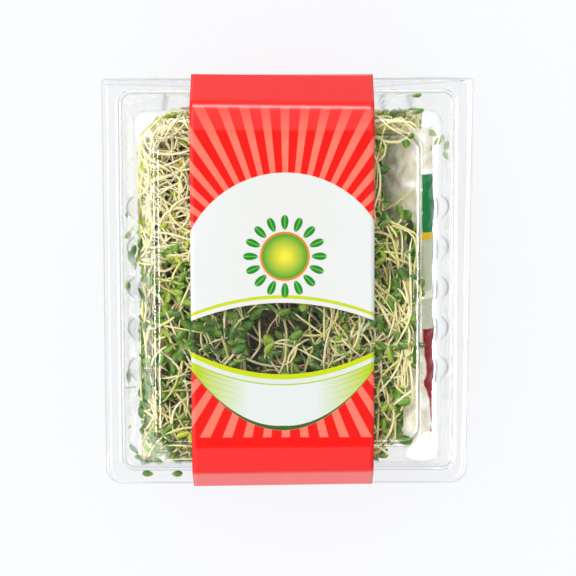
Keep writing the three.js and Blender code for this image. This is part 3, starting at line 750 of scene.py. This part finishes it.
def leaf_blades(rng, feet, headings, faces, lengths, side):
    """One seed leaf at each foot: a fleshy oval blade that curls a little, with its face turned to faces."""
    count = len(feet)
    face = unit(faces - np.sum(faces * headings, axis=1, keepdims=True) * headings)
    across = np.cross(headings, face)
    opening = side * rng.uniform(0.3, 0.9, count)
    bend = side * rng.uniform(-0.2, 0.8, count)
    droop = rng.uniform(-0.7, 0.4, count)
    path = np.empty((count, len(LEAF_STATIONS), 3))
    path[:, 0] = feet
    for station in range(1, len(LEAF_STATIONS)):
        t = LEAF_STATIONS[station]
        angle = opening + bend * t
        forward = headings * np.cos(angle)[:, None] + across * np.sin(angle)[:, None]
        forward = unit(forward + face * (droop * t)[:, None])
        run = (t - LEAF_STATIONS[station - 1]) * lengths
        path[:, station] = path[:, station - 1] + forward * run[:, None]
    widths = LEAF_WIDTHS[None] * (lengths * rng.uniform(0.25, 0.32, count))[:, None]
    return path, widths, np.tile(LEAF_HEIGHTS, (count, 1)), unit(np.cross(path[:, 2] - path[:, 0], face))


class Tangle:
    """Collects threads and blades, with their values for the materials."""

    def __init__(self):
        self.points, self.quads, self.slots, self.along, self.shade = [], [], [], [], []
        self.total = 0

    def add(self, paths, widths, heights, side, along, shade, slot):
        """Adds threads or blades of one material slot."""
        points, quads = sweep(paths, widths, heights, side)
        self.points.append(points)
        self.quads.append(quads + self.total)
        self.slots.append(np.full(len(quads), slot))
        self.along.append(np.repeat(np.tile(along, len(paths)), 4))
        self.shade.append(np.repeat(shade, len(along) * 4))
        self.total += len(points)

    def make(self, name, materials):
        """One piece of all that was added."""
        parts = (self.points, self.quads, self.slots, self.along, self.shade)
        points, quads, slots, along, shade = (np.concatenate(part) for part in parts)
        piece = make_piece(name, points, quads, materials, slots)
        point_values(piece, "along", along)
        point_values(piece, "shade", shade)
        return piece


def core_mesh(rng, planes, low, high, depth):
    """The matted inside of a bunch, which stands in dark for its shade: a rough closed lump well inside every plane.
    """
    ball = bmesh.new()
    bmesh.ops.create_icosphere(ball, subdivisions=4, radius=1.0)
    rays = np.array([vert.co[:] for vert in ball.verts])
    faces = [[vert.index for vert in face.verts] for face in ball.faces]
    ball.free()
    tries = rng.uniform(low, high, size=(4000, 3))
    middle = tries[room_inside(planes, tries).min(axis=1).argmax()]
    rays = rays * (high - low)
    reach = np.ones(len(rays))
    for normal, far in planes:
        slope = rays @ normal
        room = far - depth - middle @ normal
        reach = np.where(slope > 1e-6, np.minimum(reach, max(room, 0.5) / np.maximum(slope, 1e-6)), reach)
    wave = np.sin(rays @ rng.normal(size=(3, 5)) * 0.18 + rng.uniform(0, 6, 5)).mean(axis=1)
    return middle + rays * (reach * (0.92 + 0.1 * wave))[:, None], faces


def hollows(points):
    """0 where the tangle reaches the pack and up to 1 where it lies hollow, in lumps about 20 mm across."""
    waves = points @ np.array([[0.23, -0.11, 0.17], [0.09, 0.27, -0.15], [0.19, 0.07, 0.25]]).T
    first, second, third = waves.T
    return 0.5 + 0.25 * (np.sin(first + 1.3) * np.cos(second) + np.sin(third + first * 0.6))


def paleness(points):
    """How pale the sprouts are: they grew in the dark at the upper left, and a little at the upper right."""
    upper_left = np.clip(points[:, 1] / 26, 0, 1) * np.clip((-12 - points[:, 0]) / 14, 0, 1)
    upper_right = 0.4 * np.clip((points[:, 1] - 36) / 14, 0, 1) * np.clip((points[:, 0] - 8) / 12, 0, 1)
    return upper_left + upper_right


# Ranges of a sprout's sizes in millimetres
STEM_LENGTH = (22, 42)
STEM_RADIUS = (0.36, 0.58)
LEAF_LENGTH = (4.4, 6.7)
# The dark-painted core of matted roots, which stands for the shade inside, lies so deep inside the tangle, and stops
# short of the pack's corners
CORE_DEPTH = 10.0
CORE_LOW, CORE_HIGH = (-60, -68, 1), (60, 68, 48)


def grow(name, node, slot, seed, low, high, limits, bare_patches, count, steps, strays, materials):
    """Replaces one bunch of the tangle with fine sprouts, and the matted roots inside them, painted dark as their
    shade.
    """
    rng = np.random.default_rng(seed)
    low, high = np.array(low, float), np.array(high, float)
    box = [plane(-axis, low) for axis in np.eye(3)[:2]] + [plane(axis, high) for axis in np.eye(3)[:2]]
    walls = pack_walls()
    bounds = walls + box + limits
    tips = np.empty((0, 3))
    while len(tips) < count:
        tries = rng.uniform(low, high, size=(count * 8, 3))
        room = room_inside(bounds, tries)
        hollow = 1.6 + 3.2 * hollows(tries) ** 2
        free = np.minimum(room[:, : len(walls)].min(axis=1) - hollow, room[:, len(walls) :].min(axis=1) - 1.0)
        keep = (free > 0) & (rng.uniform(size=len(tries)) < np.exp(-np.maximum(free - 1, 0) / 5.0))
        for patch_low, patch_high, left in bare_patches:
            within = np.all((tries > patch_low) & (tries < patch_high), axis=1)
            keep &= ~within | (rng.uniform(size=len(tries)) < left)
        tips = np.concatenate([tips, tries[keep]])[:count]
    outward = np.stack([bounds[i][0] for i in room_inside(bounds, tips).argmin(axis=1)])
    tangent = rng.normal(size=(count, 3))
    tangent = unit(tangent - np.sum(tangent * outward, axis=1, keepdims=True) * outward)
    pale = np.clip(paleness(tips) + rng.normal(0, 0.12, count), 0, 1)
    with_leaves = rng.uniform(size=count) < 0.94 - 0.76 * pale
    rise = np.where(with_leaves, rng.uniform(-0.1, 1.0, count), rng.uniform(-0.3, 0.2, count))[:, None]
    heading = unit(tangent + rise * outward)
    lengths = rng.uniform(*STEM_LENGTH, count)
    curl = rng.uniform(0.03, 0.16, count) + pale * rng.uniform(0.0, 0.16, count)
    # Leaves push outward, and most of the stems that carry them lie deeper
    margins = 1.1 + 3.0 * rng.beta(1.2, 2.0, count) + np.where(with_leaves, rng.uniform(0, 2.2, count), 0)
    paths = wander(rng, tips, heading, lengths, curl, bounds, margins, steps)[:, ::-1]
    for patch_low, patch_high, left in bare_patches:
        within = np.all((paths > patch_low) & (paths < patch_high), axis=2).any(axis=1)
        keep = ~within | (rng.uniform(size=len(paths)) < left)
        paths, with_leaves, outward, pale = paths[keep], with_leaves[keep], outward[keep], pale[keep]
    count = len(paths)
    along = np.linspace(0, 1, steps + 1)
    stout = rng.uniform(*STEM_RADIUS, count)[:, None]
    radii = stout * np.interp(along, [0, 0.08, 0.35, 0.9, 1], [0.2, 0.6, 1.0, 0.95, 0.8])[None]
    tangle = Tangle()
    shade = np.clip(rng.beta(1.1, 2.0, count) * (0.95 - 0.45 * pale) + 0.08 * (1 - pale), 0, 1)
    tangle.add(paths, radii, radii, unit(rng.normal(size=(count, 3))), along, shade, 0)
    feet, tip_heading = paths[with_leaves, -1], unit(paths[with_leaves, -1] - paths[with_leaves, -2])
    facing = unit(outward[with_leaves] + 0.4 * rng.normal(size=(len(feet), 3)))
    pale = pale[with_leaves]
    leaf_shade = np.clip(rng.beta(2.4, 1.5, len(feet)) * (1 - 0.75 * pale) + 0.12 * (1 - pale), 0, 1)
    size = rng.uniform(*LEAF_LENGTH, len(feet)) * (1 - 0.22 * pale)
    for side in (-1, 1):
        blades = leaf_blades(rng, feet, tip_heading, facing, size * rng.uniform(0.88, 1.08, len(feet)), side)
        inward = np.zeros((len(feet), 3))
        for normal, reach in bounds:
            over = np.maximum(((blades[0] + inward[:, None]) @ normal).max(axis=1) - (reach - 0.9), 0)
            inward -= over[:, None] * normal
        tangle.add(blades[0] + inward[:, None], *blades[1:], LEAF_STATIONS, leaf_shade, 1)
    # Tan seed hulls cling here and there
    hulls = rng.choice(count, max(4, count // 40), replace=False)
    start = paths[hulls, steps // 2] + outward[hulls] * 0.6
    run = unit(rng.normal(size=(len(hulls), 3)))[:, None] * (np.linspace(-0.9, 0.9, 5)[None, :, None])
    hull_radius = np.tile([0.12, 0.55, 0.72, 0.5, 0.1], (len(hulls), 1))
    side = unit(rng.normal(size=(len(hulls), 3)))
    run = start[:, None] + run
    tangle.add(run, hull_radius, 0.7 * hull_radius, side, np.linspace(0.6, 1, 5), np.ones(len(hulls)), 0)
    for face, (*place, turn, length, width, tone) in strays:
        face = unit(np.array(face, float))
        heading = np.array([math.cos(math.radians(turn)), math.sin(math.radians(turn)), 0.0])
        heading = unit(heading - heading @ face * face)
        run = np.array(place, float) + heading * (length * (LEAF_STATIONS - 0.5))[:, None]
        leaf = width > STEM_RADIUS[0]
        widths = LEAF_WIDTHS[None] * width if leaf else np.full((1, len(LEAF_STATIONS)), width)
        side = np.cross(heading, face)[None]
        tangle.add(run[None], widths, np.minimum(widths, 0.2), side, LEAF_STATIONS, np.array([tone]), int(leaf))
    bunch = tangle.make(name, materials[:2])
    points, faces = core_mesh(rng, bounds, np.maximum(low, CORE_LOW), np.minimum(high, CORE_HIGH), CORE_DEPTH)
    core = make_piece(name + "_core", points, faces, [materials[2]])
    for piece in (bunch, core):
        stand_for(piece, node)


# ---- the sachets ----

# The sachets' fold as seen from the front, across the pack and upward, from the inner edge to the outer one
SACHET_FOLD = np.array([[34.0, 27.5], [41.5, 34.5], [48.9, 40.4], [52.3, 35.0], [53.0, 27.5]], float)
# The chilli sachet's lower end lies flatter, with its inner edge up against the lid
RAISED_FOLD = np.array([[42.4, 38.6], [45.2, 39.9], [48.9, 40.8], [52.3, 35.0], [53.0, 27.5]], float)


def fold_curve(ends, samples):
    """Points and headings along a fold, evenly spaced, and its length."""
    padded = np.vstack([2 * ends[0] - ends[1], ends, 2 * ends[-1] - ends[-2]])
    dense = []
    for i in range(1, len(padded) - 2):
        p0, p1, p2, p3 = padded[i - 1 : i + 3]
        for t in np.linspace(0, 1, 24, endpoint=False):
            bent = (2 * p0 - 5 * p1 + 4 * p2 - p3) * t**2 + (3 * p1 - p0 - 3 * p2 + p3) * t**3
            dense.append(0.5 * (2 * p1 + (p2 - p0) * t + bent))
    dense = np.array(dense + [ends[-1]])
    length = np.concatenate([[0], np.cumsum(np.linalg.norm(np.diff(dense, axis=0), axis=1))])
    at = np.linspace(0, length[-1], samples)
    place = np.column_stack([np.interp(at, length, dense[:, 0]), np.interp(at, length, dense[:, 1])])
    return place, unit(np.gradient(place, axis=0)), length[-1]


def make_sachet(name, node, ends, puff, bulge, raised_from, material, seed):
    """A pillow of film, folded along its length, with crimped seals at its ends, and its outer edge bulged."""
    rng = np.random.default_rng(seed)
    wide, tall = 49, 129
    around = np.linspace(0, 1, wide)
    y = np.linspace(ends[0], ends[1], tall)
    lift = np.clip((raised_from - y) / 12, 0, 1)[:, None, None]
    lift = lift * lift * (3 - 2 * lift)
    low_place, low_heading, low_length = fold_curve(SACHET_FOLD, wide)
    high_place, high_heading, high_length = fold_curve(RAISED_FOLD, wide)
    place = low_place + lift * (high_place - low_place)
    heading = unit(low_heading + lift * (high_heading - low_heading))
    normal = np.stack([-heading[..., 1], heading[..., 0]], axis=-1)
    from_end = np.minimum(y - ends[0], ends[1] - y)
    phases = rng.uniform(0, 6.28, 12)
    pillow = np.sqrt(np.sin(np.pi * around))[None] * np.clip((from_end - 5) / 9, 0, 1)[:, None] ** 0.5
    creases = sum(
        np.sin(y[:, None] * (0.3 + 0.17 * k) + around[None] * (4 + 3.5 * k) * (-1) ** k + phases[k]) for k in range(6)
    ) / 6
    crimp = 0.12 * np.sin(y / 1.1 * math.tau)[:, None] * (from_end < 5)[:, None]
    share = np.clip((y - ends[0]) / (ends[1] - ends[0]), 0, 1)[:, None]
    outer = bulge * (1 - 2 * (1 - share) ** 1.5) * np.clip((around - 0.6) / 0.4, 0, 1)[None]
    sides = []
    for side in (1, -1):
        half = 0.2 + puff * pillow * (0.85 + 0.4 * creases * side)
        off = side * half + 0.7 * creases * pillow + crimp
        x = place[..., 0] + normal[..., 0] * off + outer
        z = place[..., 1] + normal[..., 1] * off
        sides.append(np.stack([x, np.broadcast_to(y[:, None], x.shape), z], axis=-1).reshape(-1, 3))
    total = tall * wide
    index = np.arange(total).reshape(tall, wide)
    quads = quads_between(tall, wide)
    rim = np.concatenate([index[0, :], index[1:, -1], index[-1, -2::-1], index[-2:0:-1, 0]])
    after = np.roll(rim, -1)
    seam = np.column_stack([rim, rim + total, after + total, after])
    faces = np.concatenate([quads[:, ::-1], quads + total, seam])
    piece = make_piece(name, np.concatenate(sides), faces[:, ::-1], [material])
    width = low_length + lift[..., 0] * (high_length - low_length)
    spread = np.broadcast_arrays((1 - around)[None] * width, y[:, None])
    print_place = np.tile(np.stack(spread, axis=-1).reshape(-1, 2), (2, 1))
    lay_print(piece, print_place[faces[:, ::-1]])
    stand_for(piece, node)


# ---- making the pack ----

pet = thermoformed_pet()
tray = pack_half("clear_tray", TRAY_FLANGE, TRAY_FLANGE, -1, FLANGE_HALF[1] - 1.2, 1.0, False, pet)
lid = pack_half("clear_lid", LID_DEPTH, LID_FLANGE, 1, FLANGE_HALF[1] - 0.6, 0.0, True, pet)
stand_for(tray, "tray")
stand_for(lid, "lid")
stand_for(hinge_strip(pet), "lid")
stand_for(make_sleeve([printed_film(), clear_film()]), "sleeve")

# The bunches meet across the pack at LEFT and RIGHT and along it at PALE, and overlap there
LEFT, RIGHT, PALE, OVERLAP = -19.5, 16.0, 13.0, 5.0
wall_limits = [plane((-1, 0, 0), (-55.6, 0, 0)), plane((0, 1, 0), (0, 64.5, 0))]
open_corner = plane((-0.667, 0.745, 0), (-54.9, 55.0, 0))
fold_foot = np.array([SACHET_FOLD[0][0], 0, SACHET_FOLD[0][1]])
face_tilt = np.array([SACHET_FOLD[2][1] - SACHET_FOLD[0][1], 0, SACHET_FOLD[0][0] - SACHET_FOLD[2][0]])
above_sachets = plane(face_tilt, fold_foot - 2.8 * unit(face_tilt))
beneath_sachets = [plane(-face_tilt, fold_foot + 3.0 * unit(face_tilt)), plane((0, 0, 1), (0, 0, 25.5))]
# Only a few sprouts lie over the sachets' faces: low corner, high corner and the share that is left there
front_patch = ((37, -70, 20), (60, -59, 60), 0.0)
bare_patches = [((35.5, 26, 27), (60, 51, 60), 0.14), ((41, -61, 27), (60, -38, 60), 0.05), front_patch]
wall_left, wall_right, lid_top, end_wall = (0.6, 0, 0.8), (-0.6, 0, 0.8), (0.3, 0, 1), (0, -0.6, 0.8)
# Single leaves and one thin stem that stick to the sheet: facing, then place, turn, length, half width and tone
pale_strays = [
    (wall_left, (-58.9, 17.9, 29.0, 30, 3.6, 1.0, 0.9)),
    (wall_left, (-59.1, 25.4, 29.5, 80, 2.2, 0.7, 1.0)),
    (wall_left, (-57.4, 20.4, 32.0, 60, 2.6, 0.8, 0.1)),
]
left_strays = [
    (wall_left, (-56.7, 12.4, 32.6, 70, 4.6, 1.3, 0.9)),
    (wall_left, (-57.3, 9.2, 31.0, 140, 4.4, 1.3, 1.0)),
    (wall_left, (-57.9, 11.0, 29.6, 20, 4.0, 1.1, 0.8)),
    (wall_left, (-56.4, 7.4, 33.4, 100, 3.8, 1.1, 0.6)),
    (wall_left, (-59.1, -1.3, 28.6, 95, 4.6, 1.2, 0.5)),
    (wall_left, (-59.2, -35.0, 28.2, 90, 5.4, 1.1, 1.0)),
    (wall_left, (-59.0, -39.4, 27.4, 0, 4.8, 0.22, 1.0)),
    (wall_left, (-59.0, -53.9, 29.5, 40, 1.6, 0.5, 0.7)),
    ((0.6, 0.6, 0.5), (-57.6, -62.6, 28.5, 120, 4.8, 1.4, 0.9)),
    ((0.3, 0.8, 0.5), (-55.3, -65.8, 28.0, 200, 4.6, 1.3, 0.7)),
    ((0, 0.9, 0.4), (-52.2, -67.2, 27.6, 150, 4.0, 1.2, 0.9)),
    ((0, 0, 1), (-52.6, -72.4, 26.05, 175, 4.2, 1.2, 0.8)),
    ((0, 0, 1), (-41.6, -72.5, 26.05, 5, 4.0, 1.2, 0.8)),
]
right_strays = [
    (wall_right, (58.0, 50.8, 31.0, 60, 3.8, 1.1, 0.5)),
    (wall_right, (57.8, 47.2, 31.0, 130, 3.6, 1.0, 0.5)),
    (wall_right, (56.6, 53.6, 33.0, 100, 3.0, 0.9, 0.4)),
    (lid_top, (54.6, 52.6, 35.0, 40, 3.8, 1.1, 0.4)),
    (lid_top, (52.6, 56.0, 37.5, 150, 3.6, 1.1, 0.5)),
    (lid_top, (51.4, 50.4, 38.5, 80, 3.4, 1.0, 0.3)),
    (end_wall, (47.2, 69.0, 27.9, 10, 3.8, 1.1, 0.8)),
    (end_wall, (47.0, 64.3, 41.0, 25, 5.0, 1.3, 0.8)),
]
# Each bunch: its piece, node and slot, its low and high corners, limits and bare patches, its number of sprouts,
# how many steps a stem has, and its strays
bunches = [
    ("upper_left_sprouts", "sprouts_upper_left", "pale_sprouts", (-61, PALE - OVERLAP, 1), (LEFT + OVERLAP, 70, 48),
     [*wall_limits, open_corner], [], 1300, 14, pale_strays),
    ("lower_left_sprouts", "sprouts_lower_left", "green_sprouts", (-61, -70, 1), (LEFT + OVERLAP, PALE + OVERLAP, 48),
     wall_limits, [], 900, 11, left_strays),
    ("middle_sprouts", "sprouts_middle", "green_sprouts", (LEFT - OVERLAP, -70, 1), (RIGHT + OVERLAP, 70, 48),
     wall_limits, [], 800, 11, []),
    ("right_sprouts", "sprouts_right", "green_sprouts", (RIGHT - OVERLAP, -70, 1), (55, 70, 48),
     [*wall_limits, above_sachets], bare_patches, 900, 11, right_strays),
    ("sprouts_beneath_sachets", "sprouts_under_sachets", "green_sprouts", (RIGHT, -70, 1), (51, 70, 30),
     [*wall_limits, *beneath_sachets], [front_patch], 440, 11, []),
]
plant = [sprout_stem(), seed_leaf(), shaded_matted_roots()]
for order, bunch in enumerate(bunches):
    grow(*bunch[:3], 40 + order, *bunch[3:], plant)

# A panel runs from its upper end to its lower one, is so wide, and is drawn in so much at its lower end
lime_bands = [(0.0, "#FBFBFA"), (0.04, "#00793A"), (0.515, "#E2B911"), (0.575, "#BFC5A6")]
lime = sachet_laminate("lime sachet laminate", lime_bands, (43.4, -1.8, 14.6, 0.0), (18.6, 19.8))
chilli_bands = [(0.0, "#C3C6AE"), (0.2, "#8E0614"), (0.7, "#A00A1A")]
chilli = sachet_laminate("chilli sachet laminate", chilli_bands, (-4.5, -58.0, 14.3, 5.9))
make_sachet("lime_seasoning_sachet", "lime_sachet", (-1.9, 58.0), 1.15, 0.0, -90, lime, 7)
make_sachet("chilli_seasoning_sachet", "chile_sachet", (-61.0, -2.2), 1.5, 1.2, -30, chilli, 8)

# ---- floor, lights and camera ----

FLOOR_HALF = 3.0
# How far the camera leans back from straight overhead and how it rolls, in degrees
CAMERA_LEAN = 8.5
CAMERA_ROLL = -0.15
CAMERA_DISTANCE = 1.03
SENSOR = 36
# The frame is 576 pixels wide, and its middle lies some pixels towards the front from the pack's
PIXELS = 576
PIXELS_TO_FRONT = 6.5
VIEW_WIDTH = 213.3 * MM


def lit_opal_acrylic():
    """Opal acrylic sheet lit from beneath: an even matt white, on which clear things stand as faint lines."""
    material, tree = new_material("lit opal acrylic")
    skin = {"Base Color": "#595A5C", "Roughness": 0.7, "Specular IOR Level": 0.0}
    skin |= {"Emission Color": "#FCFDFF", "Emission Strength": 0.86}
    add(tree, "OutputMaterial", {"Surface": add(tree, "BsdfPrincipled", skin)})
    return material


floor_mesh = bpy.data.meshes.new("floor")
floor_corners = [(-1, -1), (1, -1), (1, 1), (-1, 1)]
floor_mesh.from_pydata([(x * FLOOR_HALF, y * FLOOR_HALF, 0) for x, y in floor_corners], [], [(0, 1, 2, 3)])
floor_mesh.materials.append(lit_opal_acrylic())
floor = bpy.data.objects.new("floor", floor_mesh)
bpy.context.scene.collection.objects.link(floor)

# White studio walls, dimmer at the floor, round the opening overhead where the camera looks in, and at the right
world = bpy.data.worlds.new("studio")
world.use_nodes = True
studio = world.node_tree
studio.nodes.clear()
direction = add(studio, "SeparateXYZ", {0: add(studio, "TexCoord").outputs["Generated"]})
by_height = [(0.0, "#C8C9CB"), (0.3, "#F4F5F7"), (0.55, "#FFFFFF"), (0.82, "#FFFFFF")]
by_height += [(0.95, "#9A9A9A"), (1.0, "#7C7C7C")]
walls = add(studio, "ValToRGB", {0: direction.outputs[2]}, stops=by_height)
strength = add(studio, "MapRange", {"Value": direction.outputs[0], 1: -0.4, 2: 0.7, 3: 1.95, 4: 0.75})
lit_walls = add(studio, "Background", {"Color": walls, "Strength": strength})
add(studio, "OutputWorld", {"Surface": lit_walls})
bpy.context.scene.world = world

flange_middle = Vector((0, 0, tray_high.z * MM))


def shines_in(name, pieces):
    """A set of pieces for a light that shines in nothing else."""
    lit = bpy.data.collections.new(name)
    for piece in pieces:
        lit.objects.link(bpy.data.objects[piece])
    return lit


# The glints never reach the printed film, which they would whiten from the side, apart from the one on its crease
CLEAR_PIECES = ("clear_lid", "clear_tray", "living_hinge")
clear_only = shines_in("clear_pieces", CLEAR_PIECES)
glossy = shines_in("glossy_pieces", CLEAR_PIECES + ("lime_seasoning_sachet", "chilli_seasoning_sachet"))


def softbox(name, direction, size, radiance, glint=False, lit=None):
    """A soft light a metre from the pack, sized along it and across. A glint shows only in what is glossy."""
    light = bpy.data.lights.new(name, "AREA")
    light.shape = "RECTANGLE"
    light.size, light.size_y = size
    light.energy = radiance * math.pi * size[0] * size[1]
    box = bpy.data.objects.new(name, light)
    aim = Vector(direction).normalized()
    box.location = flange_middle + aim
    along = (Vector((0, 1, 0)) - aim * aim.y).normalized()
    box.rotation_euler = Matrix((along, aim.cross(along), aim)).transposed().to_euler()
    box.visible_diffuse = not glint
    if lit:
        box.light_linking.receiver_collection = lit
    bpy.context.scene.collection.objects.link(box)


softbox("softbox_left", (-0.6, 0.35, 0.75), (0.6, 0.6), 1.6)
softbox("softbox_right", (0.6, 0.3, 0.75), (0.5, 0.5), 0.8)
softbox("glint_left_shoulder", (-0.42, -0.134, 0.9), (0.4, 0.3), 9.0, True, glossy)
softbox("glint_left_step", (0.976, -0.14, 0.22), (1.0, 0.5), 75.0, True, clear_only)
softbox("glint_left_wall", (-0.68, -0.14, 0.72), (0.45, 0.5), 5.0, True, glossy)
softbox("glint_hinge_right", (0.643, 0.55, 0.534), (0.45, 0.45), 4.0, True, glossy)
softbox("glint_hinge_left", (-0.72, 0.517, 0.462), (0.45, 0.45), 5.0, True, glossy)
softbox("glint_front_right", (0.555, -0.758, 0.343), (0.3, 0.3), 18.0, True, glossy)
softbox("glint_front_left", (-0.633, -0.726, 0.272), (0.4, 0.4), 8.0, True, glossy)
softbox("glint_crease", (-0.055, 0.85, 0.5), (0.3, 0.8), 15.0, True)

toward = Vector((0, math.tan(math.radians(CAMERA_LEAN)), 1)).normalized()
aim = flange_middle - Vector((0, PIXELS_TO_FRONT / PIXELS * VIEW_WIDTH, 0))
camera_data = bpy.data.cameras.new("camera")
camera_data.sensor_width = SENSOR
camera_data.lens = SENSOR * CAMERA_DISTANCE / VIEW_WIDTH
camera_data.clip_start = 0.01
camera = bpy.data.objects.new("camera", camera_data)
bpy.context.scene.collection.objects.link(camera)
right_axis = Vector((0, 1, 0)).cross(toward).normalized()
turn = Matrix((right_axis, toward.cross(right_axis), toward)).transposed().to_4x4()
roll = Matrix.Rotation(math.radians(CAMERA_ROLL), 4, "Z")
camera.matrix_world = Matrix.Translation(aim + toward * CAMERA_DISTANCE) @ turn @ roll
bpy.context.scene.camera = camera

bpy.context.scene.view_settings.view_transform = "Standard"
# The sleeve's window, the lid and the stacked folds of the sheet are looked through in one line
bpy.context.scene.cycles.transparent_max_bounces = 24
